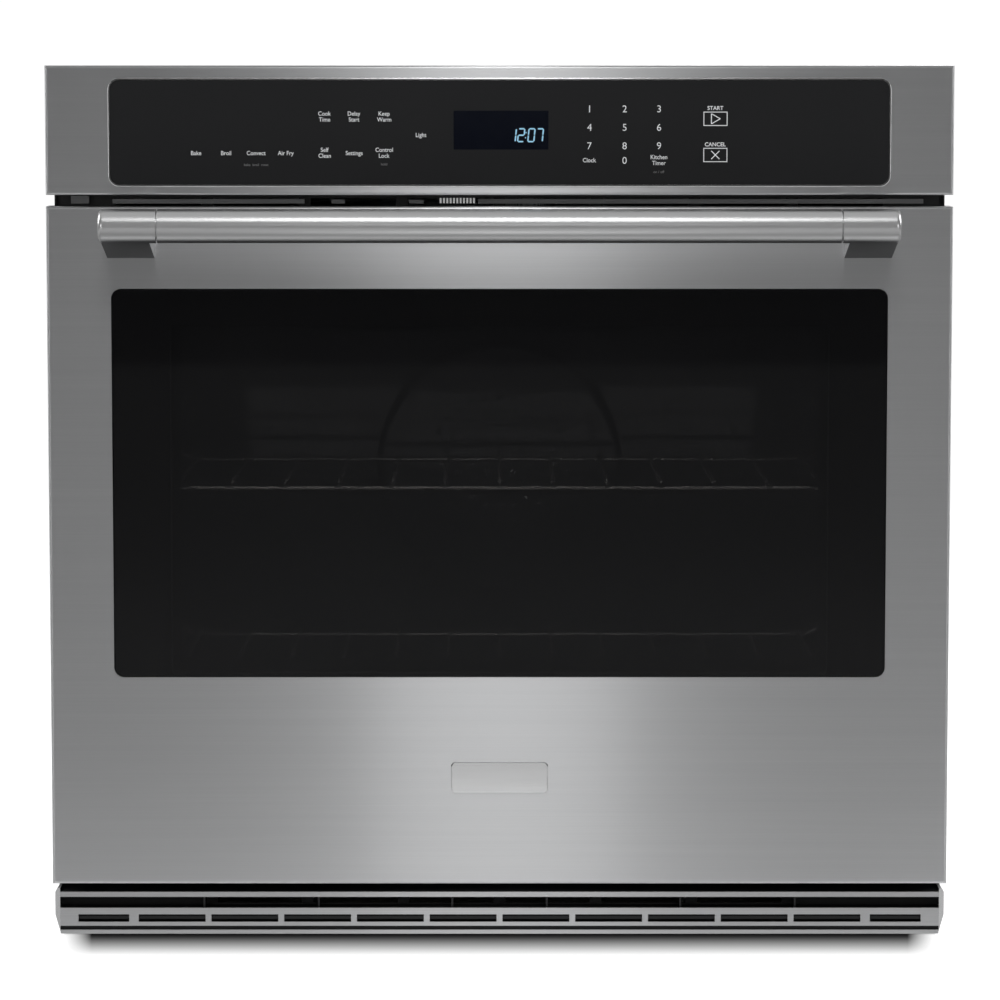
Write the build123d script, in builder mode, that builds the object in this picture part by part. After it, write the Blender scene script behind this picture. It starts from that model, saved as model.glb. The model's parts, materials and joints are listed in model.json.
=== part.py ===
from build123d import *
import math
import os

os.makedirs("parts", exist_ok=True)

# Built-in electric wall oven, 30 inch class.  Millimetres.
# x is the width (0 on the centre line), -y is the front, z is up.
# y = 0 is the face of the cabinet, z = 0 is the shelf that the oven stands on.

# ------------------------------------------------------------ driving sizes
sheet = 1.2                     # thickness of the formed steel sheets
face_half = 378.0               # half width of the door and the control panel
face_front = -40.0              # front plane of the door and the control panel
face_top = 733.0                # top edge of the control panel
bend = 2.2                      # outer radius of the bent front edges

body_half = 358.0               # half width of the part that slides into the cabinet
body_top = 722.0
back_y = 578.0                  # outside of the back sheet
frame_half = 374.0              # half width of the flange that laps the cabinet
frame_sheet = 1.5
mount_hole_x = 366.0
mount_hole_z = (165.0, 565.0)
mount_hole_radius = 2.75

cavity_half = 308.0             # inside of the oven
cavity_floor = 130.0
cavity_ceiling = 575.0
cavity_back = 522.0
liner_sheet = 1.5
liner_corner = 20.0
flange_front = -3.0             # front of the enamelled flange round the mouth
rack_pitch = 55.4
rack_levels = [203.4 + rack_pitch * step for step in range(6)]
rib_depth = 9.0                 # how far the rack ribs stand into the oven
rib_height = 12.0

door_bottom = 44.1
door_top = 616.0
door_back = -8.0
window_half = 324.0             # outer glass of the door
window_bottom = 220.8
window_top = 547.3
clear_half = 276.0              # the part of the window that can be seen through
clear_bottom = 222.0
clear_top = 516.0
spring_bottom = 120.0
spring_top = 230.0

hinge_x = 340.0
pivot_y = -32.0
pivot_z = 52.0
pivot_radius = 3.0
running_gap = 0.05              # radial clearance of every running fit

handle_radius = 14.0
handle_y = -92.0
handle_z = 601.6
handle_half = 329.4
handle_bar_half = 281.2
handle_joint = 0.7              # dark groove between the bar and its end castings

panel_bottom = 625.6
touch_half = 324.0
touch_bottom = 634.3
touch_top = 720.9
bezel_width = 2.0

fan_z = 352.0
fan_shaft_radius = 4.0
ring_radius = 88.0              # centre line of the ring heater round the fan
lead_x = 20.0                   # its two leads, either side of the centre line
lead_z = fan_z - math.sqrt(ring_radius**2 - lead_x**2)
blower_y = 300.0
blower_z = 668.0
blower_half = 104.0

rack_front = 45.0
rack_back = 440.0
rack_half = 301.5
rail_radius = 3.25
rack_wire_radius = 2.0
rack_wire_pitch = 46.8
upper_rack_level = rack_levels[3]
lower_rack_level = rack_levels[0]

latch_pivot = (0.0, 40.0)       # x and y of the upright pin that the hook turns on
latch_arm = 56.0
latch_rest_angle = 55.0         # the hook arm's angle from straight ahead, unlocked
latch_swing = 50.0
latch_tail = 24.0               # from the hook's pin to the middle of the cam
latch_crank = latch_tail * math.tan(math.radians(latch_swing / 2))

trim_half = 371.8               # lower vent trim, without its end caps
trim_top = 37.3


# ------------------------------------------------------------ shared shapes
def block(x0, x1, y0, y1, z0, z1, mode=Mode.ADD):
    """A box between two corners, added to the current part or cut from it."""
    with Locations(((x0 + x1) / 2, (y0 + y1) / 2, (z0 + z1) / 2)):
        Box(x1 - x0, y1 - y0, z1 - z0, mode=mode)


def rod(start, end, radius, mode=Mode.ADD):
    """A round bar from start to end, added to the current part or cut from it."""
    line = Vector(*end) - Vector(*start)
    with Locations(Plane(origin=Vector(*start), z_dir=line)):
        Cylinder(radius, line.length, align=(Align.CENTER, Align.CENTER, Align.MIN), mode=mode)


def front_plate(half, z0, z1, y_front, y_back, corner, mode=Mode.ADD):
    """A plate parallel to the oven's face, centred in x, with rounded corners."""
    with BuildSketch(Plane.XZ.offset(-y_back)) as outline:
        with Locations((0, (z0 + z1) / 2)):
            RectangleRounded(2 * half, z1 - z0, corner)
    extrude(outline.sketch, amount=y_back - y_front, mode=mode)


def wire(points, radius, bend_radius):
    """A round wire or tube bent through the given points."""
    with BuildLine() as path:
        FilletPolyline(*points, radius=bend_radius)
    with BuildSketch(Plane(origin=path.line @ 0, z_dir=path.line % 0)) as section:
        Circle(radius)
    sweep(section.sketch, path=path.line)


def save(piece, label):
    """Name a finished piece and write it as one STEP file."""
    piece.part.label = label
    export_step(piece.part, f"parts/{label}.step")


# ------------------------------------------------------------ outer casing
def make_base_pan():
    pan_half = body_half - sheet - 0.2
    with BuildPart() as base_pan:
        block(-pan_half, pan_half, -frame_sheet, back_y - sheet - 0.2, 0, sheet)
        block(pan_half - sheet, pan_half, 3, back_y - 4, sheet, 16)
        mirror(about=Plane.YZ)
        block(-pan_half, pan_half, back_y - 2 * sheet - 0.2, back_y - sheet - 0.2, sheet, 16)
        with Locations((0, 290, 0)):
            with GridLocations(220, 160, 3, 2):
                Cylinder(14, 4 * sheet, mode=Mode.SUBTRACT)
    return base_pan


def make_side_panels():
    """The two side sheets, each with flanges turned in at the front and the back."""
    with BuildPart() as side_panels:
        block(body_half - sheet, body_half, 0, back_y, sheet, body_top - sheet)
        block(body_half - 14, body_half - sheet, 0, sheet, 120, body_top - 30)
        block(body_half - 14, body_half - sheet, back_y - 2 * sheet - 0.2, back_y - sheet - 0.2,
              30, body_top - 30)
        for level in (150, 350, 550):
            block(body_half - 2 * sheet, body_half + 1, 60, 520, level, level + 5, Mode.SUBTRACT)
            block(body_half - 2 * sheet, body_half - sheet, 59, 521, level - 1, level + 6)
        mirror(about=Plane.YZ)
    return side_panels


def make_back_panel():
    half = body_half - sheet - 0.2
    with BuildPart() as back_panel:
        block(-half, half, back_y - sheet, back_y, sheet, body_top - sheet)
        with Locations((0, back_y, 640)):
            with GridLocations(60, 1, 9, 1):
                Box(44, 4 * sheet, 5, mode=Mode.SUBTRACT)
        with Locations((0, back_y, 655)):
            with GridLocations(60, 1, 9, 1):
                Box(44, 4 * sheet, 5, mode=Mode.SUBTRACT)
        with Locations((0, back_y, 60)):
            with GridLocations(60, 1, 9, 1):
                Box(44, 4 * sheet, 5, mode=Mode.SUBTRACT)
    return back_panel


def make_top_panel():
    half = body_half
    with BuildPart() as top_panel:
        block(-half, half, 0, back_y, body_top - sheet, body_top)
        block(-half + 14, half - 14, 0, sheet, body_top - 14, body_top - sheet)
        with Locations((0, blower_y, body_top)):
            with GridLocations(34, 60, 7, 3):
                Box(24, 44, 4 * sheet, mode=Mode.SUBTRACT)
        rod((260, 500, body_top - 3), (260, 500, body_top + 2), 13.2, Mode.SUBTRACT)
    return top_panel


def make_front_frame():
    with BuildPart() as front_frame:
        block(-frame_half, frame_half, -frame_sheet, 0, 2, face_top - 2)
        block(frame_half - sheet, frame_half, -7, -frame_sheet, 41, panel_bottom - 1)
        mirror(about=Plane.YZ)
        front_plate(cavity_half + 4, cavity_floor - 4, cavity_ceiling + 4, -4, 1,
                    liner_corner, Mode.SUBTRACT)
        for side in (-1, 1):
            block(side * hinge_x - 8, side * hinge_x + 8, -4, 1, 40, 66, Mode.SUBTRACT)
            for level in mount_hole_z:
                rod((side * mount_hole_x, -4, level), (side * mount_hole_x, 1, level),
                    mount_hole_radius, Mode.SUBTRACT)
        block(-50, 8, -4, 1, 586, 596, Mode.SUBTRACT)
        rod((200, -4, 590), (200, 1, 590), 5, Mode.SUBTRACT)
        with Locations((0, 0, 615)):
            with GridLocations(82, 1, 8, 1):
                Box(72, 4, 14, mode=Mode.SUBTRACT)
        with Locations((0, 0, 22)):
            with GridLocations(82, 1, 8, 1):
                Box(72, 4, 20, mode=Mode.SUBTRACT)
        block(-310, 310, -4, 1, 640, 715, Mode.SUBTRACT)
    return front_frame


# ------------------------------------------------------------ oven cavity
def make_oven_liner():
    outer = cavity_half + liner_sheet
    with BuildPart() as oven_liner:
        front_plate(outer, cavity_floor - liner_sheet, cavity_ceiling + liner_sheet,
                    flange_front, cavity_back + liner_sheet, liner_corner)
        offset(amount=-liner_sheet, openings=oven_liner.faces().sort_by(Axis.Y)[0])
        front_plate(334, 108, 600, flange_front, flange_front + liner_sheet, 10)
        front_plate(cavity_half, cavity_floor, cavity_ceiling, flange_front - 1,
                    flange_front + 2 * liner_sheet, liner_corner - liner_sheet, Mode.SUBTRACT)
        for level in rack_levels:
            rib_middle = level - rail_radius - 0.3 - rib_height / 2
            with BuildSketch(Plane.YZ.offset(-cavity_half - 0.5)) as rib:
                with Locations((255, rib_middle)):
                    SlotOverall(470, rib_height)
            left_rib = extrude(rib.sketch, amount=rib_depth + 0.5, taper=12)
            mirror(left_rib, about=Plane.YZ)
        rod((0, cavity_back - 2, fan_z), (0, cavity_back + 4, fan_z), 12, Mode.SUBTRACT)
        rod((-215, cavity_back - 2, 512), (-215, cavity_back + 4, 512), 23, Mode.SUBTRACT)
        rod((120, cavity_back - 2, 532), (120, cavity_back + 4, 532), 4, Mode.SUBTRACT)
        rod((0, 300, cavity_ceiling - 2), (0, 300, cavity_ceiling + 4), 12.8, Mode.SUBTRACT)
        for side in (-1, 1):
            rod((side * 25, cavity_back - 2, 548), (side * 25, cavity_back + 4, 548), 5,
                Mode.SUBTRACT)
            rod((side * lead_x, cavity_back - 2, lead_z), (side * lead_x, cavity_back + 4, lead_z),
                5, Mode.SUBTRACT)
        block(-50, 8, flange_front - 1, flange_front + 2, 586, 596, Mode.SUBTRACT)
        rod((200, flange_front - 1, 590), (200, flange_front + 2, 590), 5, Mode.SUBTRACT)
    return oven_liner


def make_insulation_top():
    with BuildPart() as insulation_top:
        block(-309, 309, 6, cavity_back, 578, 606)
        block(-62, 62, 5, 106, 577, 607, Mode.SUBTRACT)
        block(186, 214, 5, 40, 577, 607, Mode.SUBTRACT)
        rod((0, 300, 577), (0, 300, 607), 15.2, Mode.SUBTRACT)
    return insulation_top


def make_insulation_bottom():
    with BuildPart() as insulation_bottom:
        block(-309, 309, 6, cavity_back, 88, 114)
        fillet(insulation_bottom.edges().filter_by(Axis.Z), 8)
    return insulation_bottom


def make_insulation_sides():
    with BuildPart() as insulation_sides:
        block(311, 346, 6, 556, 100, 606)
        fillet(insulation_sides.edges().filter_by(Axis.X), 8)
        mirror(about=Plane.YZ)
    return insulation_sides


def make_insulation_back():
    with BuildPart() as insulation_back:
        block(-309, 309, 525, 556, 100, 606)
        rod((0, 524, fan_z), (0, 557, fan_z), 46, Mode.SUBTRACT)
        rod((-215, 524, 512), (-215, 557, 512), 29, Mode.SUBTRACT)
        rod((120, 524, 532), (120, 557, 532), 6, Mode.SUBTRACT)
        for side in (-1, 1):
            rod((side * 25, 524, 548), (side * 25, 557, 548), 7, Mode.SUBTRACT)
            rod((side * lead_x, 524, lead_z), (side * lead_x, 557, lead_z), 7, Mode.SUBTRACT)
    return insulation_back


# ------------------------------------------------------------ heating
def make_bake_element():
    z = 121.0
    turns = [(-30, 520, z), (-30, 470, z), (-250, 470, z), (-250, 70, z), (-150, 70, z),
             (-150, 410, z), (-60, 410, z), (-60, 70, z), (60, 70, z), (60, 410, z),
             (150, 410, z), (150, 70, z), (250, 70, z), (250, 470, z), (30, 470, z), (30, 520, z)]
    with BuildPart() as bake_element:
        wire(turns, 3.3, 24)
    return bake_element


def make_broil_element():
    z = 548.0
    turns = [(-25, 550, z), (-25, 465, z), (-245, 465, z), (-245, 80, z), (-165, 80, z),
             (-165, 405, z), (-80, 405, z), (-80, 80, z), (80, 80, z), (80, 405, z),
             (165, 405, z), (165, 80, z), (245, 80, z), (245, 465, z), (25, 465, z), (25, 550, z)]
    with BuildPart() as broil_element:
        wire(turns, 3.5, 24)
    return broil_element


def make_broil_hangers():
    """Four strips that hang the broil element from the ceiling of the oven."""
    with BuildPart() as broil_hangers:
        for x in (-245, -80, 80, 245):
            block(x - 9, x + 9, 239, 241, 541, cavity_ceiling)
            rod((x, 230, 548), (x, 250, 548), 3.55, Mode.SUBTRACT)
            block(x - 9, x + 9, 229, 241, cavity_ceiling - 1.4, cavity_ceiling)
    return broil_hangers


def make_convection_element():
    with BuildPart() as convection_element:
        with Locations(Plane(origin=(0, 505, fan_z), z_dir=(0, 1, 0))):
            Torus(ring_radius, 3.2)
        for side in (-1, 1):
            rod((side * lead_x, 506, lead_z), (side * lead_x, 548, lead_z), 2.8)
    return convection_element


# ------------------------------------------------------------ convection fan
def make_fan_cover():
    radius = 118.0
    front = 484.0
    with BuildPart() as fan_cover:
        rod((0, front, fan_z), (0, cavity_back - 0.1, fan_z), radius)
        fillet(fan_cover.edges().sort_by(Axis.Y)[0], 8)
        offset(amount=-sheet, openings=fan_cover.faces().sort_by(Axis.Y)[-1])
        with Locations(Plane(origin=(0, front, fan_z), z_dir=(0, -1, 0))):
            for ring, count in ((14, 6), (27, 12), (40, 18), (53, 24), (66, 30)):
                with PolarLocations(ring, count):
                    Cylinder(3.6, 6 * sheet, mode=Mode.SUBTRACT)
        with Locations(Plane(origin=(0, 505, fan_z), z_dir=(0, -1, 0))):
            with PolarLocations(radius, 18):
                Box(20, 26, 16, mode=Mode.SUBTRACT)
    return fan_cover


def make_convection_fan():
    hub_back = 514.0
    with BuildPart() as convection_fan:
        rod((0, 513, fan_z), (0, hub_back + 0.6, fan_z), 66)
        rod((0, 495, fan_z), (0, hub_back, fan_z), 11)
        rod((0, 492, fan_z), (0, 566, fan_z), fan_shaft_radius)
        with Locations(Plane(origin=(0, 504, fan_z), z_dir=(0, 1, 0))):
            with PolarLocations(46, 10):
                with Locations(Location((0, 0, 0), (0, 0, 22))):
                    Box(38, 1.2, 18.5)
    return convection_fan


def make_convection_motor():
    with BuildPart() as convection_motor:
        rod((0, 528, fan_z), (0, 531, fan_z), 40)
        block(-30, 30, 531, 560, fan_z - 32, fan_z + 32)
        rod((0, 560, fan_z), (0, 570, fan_z), 20)
        for side in (-1, 1):
            rod((side * 22, 560, fan_z), (side * 22, 564, fan_z), 3)
        rod((0, 527, fan_z), (0, 571, fan_z), fan_shaft_radius + running_gap, Mode.SUBTRACT)
    return convection_motor


# ------------------------------------------------------------ cooling air
def make_air_duct():
    with BuildPart() as air_duct:
        block(-336, 336, 0.5, 345, 608, 624)
        block(-335, 335, 0, 344, 609, 623, Mode.SUBTRACT)
        block(-blower_half, blower_half, blower_y - 35, blower_y + 35, 622, 625, Mode.SUBTRACT)
        block(-24, 56, 6, 90, 607, 625, Mode.SUBTRACT)
        rod((0, 300, cavity_ceiling + liner_sheet), (0, 300, 609), 14)
        rod((0, 300, 570), (0, 300, 611), 12.8, Mode.SUBTRACT)
    return air_duct


def make_blower_housing():
    top = body_top - 6
    with BuildPart() as blower_housing:
        block(-blower_half, blower_half, blower_y - 45, blower_y + 45, 624, top)
        fillet(blower_housing.edges().filter_by(Axis.X).group_by(Axis.Z)[-1], 16)
        offset(amount=-sheet, openings=blower_housing.faces().sort_by(Axis.Z)[0])
        block(-90, 90, blower_y - 22, blower_y + 22, top - 4, top + 1, Mode.SUBTRACT)
        rod((-blower_half - 1, blower_y, blower_z), (blower_half + 1, blower_y, blower_z),
            fan_shaft_radius + running_gap, Mode.SUBTRACT)
    return blower_housing


def make_blower_wheel():
    """Cross-flow wheel: three discs joined by slanted blades, on one shaft."""
    half = 92.0
    radius = 31.0
    with BuildPart() as blower_wheel:
        rod((-112, blower_y, blower_z), (134, blower_y, blower_z), fan_shaft_radius)
        for x in (-half, -1, half - 2):
            rod((x, blower_y, blower_z), (x + 2, blower_y, blower_z), radius)
        with Locations(Plane(origin=(0, blower_y, blower_z), z_dir=(1, 0, 0))):
            with PolarLocations(radius - 5, 20):
                with Locations(Location((0, 0, 0), (0, 0, 30))):
                    Box(8, 1.2, 2 * half)
    return blower_wheel


def make_blower_motor():
    left = blower_half + 0.4
    with BuildPart() as blower_motor:
        block(left, left + 1.6, blower_y - 34, blower_y + 34, 634, 702)
        rod((left + 1.6, blower_y, blower_z), (left + 38, blower_y, blower_z), 28)
        fillet(blower_motor.edges().sort_by(Axis.X)[-1], 4)
        rod((left - 1, blower_y, blower_z), (left + 32, blower_y, blower_z),
            fan_shaft_radius + running_gap, Mode.SUBTRACT)
    return blower_motor


# ------------------------------------------------------------ lamp, sensor, switch
def make_lamp_housing():
    with BuildPart() as lamp_housing:
        rod((-215, cavity_back + liner_sheet, 512), (-215, cavity_back + 5, 512), 28)
        rod((-215, cavity_back + liner_sheet, 512), (-215, 562, 512), 22)
        rod((-215, 519, 512), (-215, 556, 512), 20, Mode.SUBTRACT)
    return lamp_housing


def make_lamp_lens():
    with BuildPart() as lamp_lens:
        rod((-215, 509, 512), (-215, cavity_back, 512), 25)
        fillet(lamp_lens.edges().sort_by(Axis.Y)[0], 9)
        rod((-215, 500, 512), (-215, cavity_back + 12, 512), 19.5)
        offset(amount=-2.4, openings=lamp_lens.faces().sort_by(Axis.Y)[-1])
    return lamp_lens


def make_temperature_sensor():
    with BuildPart() as temperature_sensor:
        rod((120, 402, 532), (120, 550, 532), 2.4)
        fillet(temperature_sensor.edges().sort_by(Axis.Y)[0], 2)
        block(106, 134, cavity_back - 1.2, cavity_back, 525, 539)
    return temperature_sensor


def make_door_switch():
    with BuildPart() as door_switch:
        block(190, 210, 0.4, 30, 582, 598)
        fillet(door_switch.edges().filter_by(Axis.Y), 1.5)
        block(194, 197, 30, 37, 587, 593)
        block(203, 206, 30, 37, 587, 593)
        rod((200, 0, 590), (200, 20, 590), 3 + running_gap, Mode.SUBTRACT)
    return door_switch


def make_switch_plunger():
    with BuildPart() as switch_plunger:
        rod((200, -7.6, 590), (200, 14, 590), 3)
        fillet(switch_plunger.edges().sort_by(Axis.Y)[0], 1.4)
    return switch_plunger


# ------------------------------------------------------------ door latch
def make_latch_bracket():
    x, y = latch_pivot
    floor = cavity_ceiling + liner_sheet
    with BuildPart() as latch_bracket:
        block(-56, 56, 4, 100, floor, floor + 1.5)
        block(-30, 56, 98.5, 100, floor, 603.5)
        block(x + latch_tail - 26, 56, 12, 100, 602, 603.5)
        rod((x, y, floor), (x, y, 599), 3)
        rod((x, y, floor), (x, y, 589), 7)
        rod((x + latch_tail, y, 601), (x + latch_tail, y, 605), 3 + running_gap, Mode.SUBTRACT)
    return latch_bracket


def make_latch_hook():
    """Flat lever: a hook arm towards the door and a slotted tail over the cam pin."""
    x, y = latch_pivot
    plate = Plane(origin=(x, y, 589.3))
    arm_angle = -90 - latch_rest_angle
    tail_angle = -latch_swing / 2
    with BuildPart() as latch_hook:
        with BuildSketch(plate):
            Circle(9)
            with Locations(Location((0, 0, 0), (0, 0, arm_angle))):
                with Locations((latch_arm / 2, 0)):
                    SlotOverall(latch_arm + 8, 8)
                with Locations((latch_arm - 1, 4)):
                    SlotOverall(12, 6, rotation=90)
            with Locations(Location((0, 0, 0), (0, 0, tail_angle))):
                with Locations((22, 0)):
                    SlotOverall(46, 14)
                with Locations((31, 0)):
                    SlotOverall(17, 7, mode=Mode.SUBTRACT)
            Circle(3 + running_gap, mode=Mode.SUBTRACT)
        extrude(amount=3)
    return latch_hook


def make_latch_cam():
    x, y = latch_pivot
    centre = x + latch_tail
    with BuildPart() as latch_cam:
        rod((centre, y, 595), (centre, y, 598), 15.5)
        rod((centre, y, 598), (centre, y, 606), 3)
        rod((centre, y - latch_crank, 587), (centre, y - latch_crank, 595), 2)
    return latch_cam


def make_latch_motor():
    x, y = latch_pivot
    centre = x + latch_tail
    with BuildPart() as latch_motor:
        rod((centre, y, 603.5), (centre, y, 626), 24)
        fillet(latch_motor.edges().sort_by(Axis.Z)[-1], 3)
        block(centre - 8, centre + 8, y + 18, y + 34, 604, 616)
        rod((centre, y, 603), (centre, y, 610), 3 + running_gap, Mode.SUBTRACT)
    return latch_motor


# ------------------------------------------------------------ controls
def make_control_fascia():
    with BuildPart() as control_fascia:
        block(-face_half, face_half, face_front, -1.7, panel_bottom, face_top)
        fillet(control_fascia.faces().sort_by(Axis.Y)[0].edges(), bend)
        offset(amount=-sheet, openings=control_fascia.faces().sort_by(Axis.Y)[-1])
        front_plate(touch_half + bezel_width, touch_bottom - bezel_width, touch_top + bezel_width,
                    face_front - 1, face_front + 4, 10, Mode.SUBTRACT)
        with Locations((0, -20, panel_bottom)):
            with GridLocations(48, 1, 14, 1):
                Box(34, 6, 4 * sheet, mode=Mode.SUBTRACT)
    return control_fascia


def make_control_bezel():
    with BuildPart() as control_bezel:
        front_plate(touch_half + bezel_width, touch_bottom - bezel_width, touch_top + bezel_width,
                    face_front - 1, face_front + 3, 10)
        fillet(control_bezel.faces().sort_by(Axis.Y)[0].edges(), 0.8)
        front_plate(touch_half, touch_bottom, touch_top, face_front - 2, face_front + 4, 8,
                    Mode.SUBTRACT)
    return control_bezel


def make_control_glass():
    with BuildPart() as control_glass:
        front_plate(touch_half, touch_bottom, touch_top, face_front - 0.7, face_front + 2.5, 8)
        chamfer(control_glass.faces().sort_by(Axis.Y)[0].edges(), 0.5)
    return control_glass


def make_display_module():
    with BuildPart() as display_module:
        block(-44, 44, face_front + 2.5, face_front + 16, 659, 699)
        fillet(display_module.edges().filter_by(Axis.Y), 3)
        block(-36, 36, face_front + 16, face_front + 18, 664, 694)
    return display_module


def make_control_board():
    board_front = face_front + 18
    with BuildPart() as control_board:
        block(-150, 150, board_front, board_front + 1.6, 640, 714)
        for x, z, width, height, depth in ((-110, 690, 30, 20, 12), (-65, 700, 22, 14, 9),
                                           (75, 690, 34, 22, 13), (120, 655, 18, 18, 9),
                                           (-115, 655, 26, 16, 10), (20, 650, 40, 10, 7)):
            block(x - width / 2, x + width / 2, board_front + 1.6, board_front + 1.6 + depth,
                  z - height / 2, z + height / 2)
        for x in (-20, -6, 8):
            rod((x, board_front + 1.6, 700), (x, board_front + 13, 700), 4.5)
    return control_board


# ------------------------------------------------------------ vents on the face
def make_upper_vent_strip():
    """Dark strip and air guides seen in the slit between control panel and door."""
    with BuildPart() as upper_vent_strip:
        block(-325, -164, -9, -frame_sheet, 617.6, 621.4)
        block(-18, 356, -9, -frame_sheet, 617.6, 621.4)
        block(-141, -130, -6, -frame_sheet, 617.6, 621)
        block(-76, -64, -6, -frame_sheet, 617.6, 620.6)
        block(-360, -345, -8, -frame_sheet, 617.6, 624)
    return upper_vent_strip


def make_bottom_vent_trim():
    """Bent trim under the door: a lip, an air recess, a slot row and a foot moulding."""
    front = face_front
    recess = front + 16
    with BuildPart() as bottom_vent_trim:
        with BuildSketch(Plane.YZ.offset(-trim_half)) as profile:
            with BuildLine():
                Polyline((-2, trim_top), (front, trim_top), (front, 33), (recess, 33),
                         (recess, 23.6), (front, 23.6), (front, 8.2), (front + 2.5, 8.2),
                         (front + 2.5, 4.8), (front, 4.8), (front, 1.4), (-2, 1.4),
                         (-2, 1.4 + sheet), (front + sheet, 1.4 + sheet), (front + sheet, 3.6),
                         (front + 2.5 + sheet, 3.6), (front + 2.5 + sheet, 8.2 + sheet),
                         (front + sheet, 8.2 + sheet), (front + sheet, 23.6 - sheet),
                         (recess + sheet, 23.6 - sheet), (recess + sheet, 33 + sheet),
                         (front + sheet, 33 + sheet), (front + sheet, trim_top - sheet),
                         (-2, trim_top - sheet), close=True)
            make_face()
            corners = profile.vertices().filter_by(lambda v: abs(v.Y - front) < 0.01)
            fillet(corners, 0.9)
        extrude(amount=2 * trim_half)
        for bay in range(-5, 5):
            x = (bay + 0.5) * 61.6
            block(x - 28.3, x + 28.3, front - 1, front + 2, 11.6, 18, Mode.SUBTRACT)
        for side in (-1, 1):
            block(side * 335 - 21.5, side * 335 + 21.5, front - 1, front + 2, 11.6, 18,
                  Mode.SUBTRACT)
        block(-249, 249, recess - 1, recess + 2, 25, 31.6, Mode.SUBTRACT)
        for x in (40, 153, 250):
            for side in (-1, 1):
                block(side * x - 0.8, side * x + 0.8, front + 3, recess, 23.6, 33)
        block(-357, 357, front + 2.2, front + 3.2, 13.6, 16.4)
        for side in (-1, 1):
            block(side * 357.5 - 1, side * 357.5 + 1, front + sheet, front + 6, 13, 16.4)
    return bottom_vent_trim


def make_vent_end_caps():
    with BuildPart() as vent_end_caps:
        with BuildSketch(Plane.XZ.offset(2)):
            with BuildLine():
                Polyline((trim_half, 3), (376, 18), (376, 37.5), (374, 40.4), (trim_half, 40.4),
                         close=True)
            make_face()
        extrude(amount=38)
        mirror(about=Plane.YZ)
    return vent_end_caps


# ------------------------------------------------------------ supply
def make_junction_box():
    with BuildPart() as junction_box:
        block(200, 320, 440, 560, 640, body_top - sheet - 0.2)
        offset(amount=-sheet, openings=junction_box.faces().sort_by(Axis.Z)[-1])
        block(190, 330, 470, 530, 640, 641)
    return junction_box


def make_conduit_connector():
    with BuildPart() as conduit_connector:
        with BuildSketch(Plane.XY.offset(body_top)):
            with Locations((260, 500)):
                RegularPolygon(18, 6)
        extrude(amount=5)
        rod((260, 500, 694), (260, 500, face_top - 1), 13)
        rod((260, 500, 712), (260, 500, 716), 17)
        rod((260, 500, 690), (260, 500, face_top), 10, Mode.SUBTRACT)
    return conduit_connector


# ------------------------------------------------------------ hinges
def make_hinge_receivers():
    with BuildPart() as hinge_receivers:
        block(hinge_x - 8, hinge_x + 8, 0.2, 92, 36, 70)
        block(hinge_x - 6.5, hinge_x + 6.5, -1, 93, 39, 66, Mode.SUBTRACT)
        block(hinge_x - 6.5, hinge_x + 6.5, 60, 64, 39, 46)
        mirror(about=Plane.YZ)
    return hinge_receivers


def make_hinge_arms():
    """Steel arms that hook into the receivers and carry the door's pivot pins."""
    reach = 80.0
    half = 6.0
    with BuildPart() as hinge_arms:
        block(hinge_x - 2, hinge_x + 2, pivot_y, reach, pivot_z - half, pivot_z + half)
        rod((hinge_x - 2, pivot_y, pivot_z), (hinge_x + 2, pivot_y, pivot_z), half)
        block(hinge_x - 2, hinge_x + 2, 66, reach, pivot_z - 12, pivot_z)
        rod((hinge_x - 3, pivot_y, pivot_z), (hinge_x + 3, pivot_y, pivot_z),
            pivot_radius + running_gap, Mode.SUBTRACT)
        mirror(about=Plane.YZ)
    return hinge_arms


def make_hinge_channels():
    """Steel channels inside the door, each with its pivot pin riveted through."""
    front = face_front + 1.6
    with BuildPart() as hinge_channels:
        block(hinge_x - 9, hinge_x + 9, front, -10, 48, 250)
        block(hinge_x - 7.5, hinge_x + 7.5, front + 1.5, -9, 47, 251, Mode.SUBTRACT)
        block(hinge_x - 7.5, hinge_x + 7.5, front - 1, -9, 47, 66, Mode.SUBTRACT)
        block(hinge_x - 7.5, hinge_x + 7.5, front + 1.5, -10, 230, 231.5)
        rod((hinge_x, -24, 229), (hinge_x, -24, 233), 2.4, Mode.SUBTRACT)
        rod((hinge_x - 9, pivot_y, pivot_z), (hinge_x + 9, pivot_y, pivot_z), pivot_radius)
        mirror(about=Plane.YZ)
    return hinge_channels


def make_hinge_springs():
    """Counterbalance springs of the door, one round each pull rod."""
    coil = 5.0
    turns = int((spring_top - spring_bottom) / coil)
    with BuildPart() as hinge_springs:
        with BuildSketch(Plane(origin=(hinge_x, -24, 0), x_dir=(1, 0, 0), z_dir=(0, -1, 0))):
            with BuildLine():
                for turn in range(turns):
                    z = spring_bottom + turn * coil
                    ThreePointArc((4.2, z), (6.4, z + coil / 2), (4.2, z + coil))
                Polyline((4.2, spring_top), (3.2, spring_top), (3.2, spring_bottom),
                         (4.2, spring_bottom))
            make_face()
        revolve(axis=Axis((hinge_x, -24, 0), (0, 0, 1)))
        mirror(about=Plane.YZ)
    return hinge_springs


def make_spring_rods():
    """Pull rods that squeeze the springs as the door opens."""
    with BuildPart() as spring_rods:
        rod((hinge_x, -24, 78), (hinge_x, -24, 240), 2.0)
        rod((hinge_x, -24, spring_bottom - 4), (hinge_x, -24, spring_bottom), 6)
        mirror(about=Plane.YZ)
    return spring_rods


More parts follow.
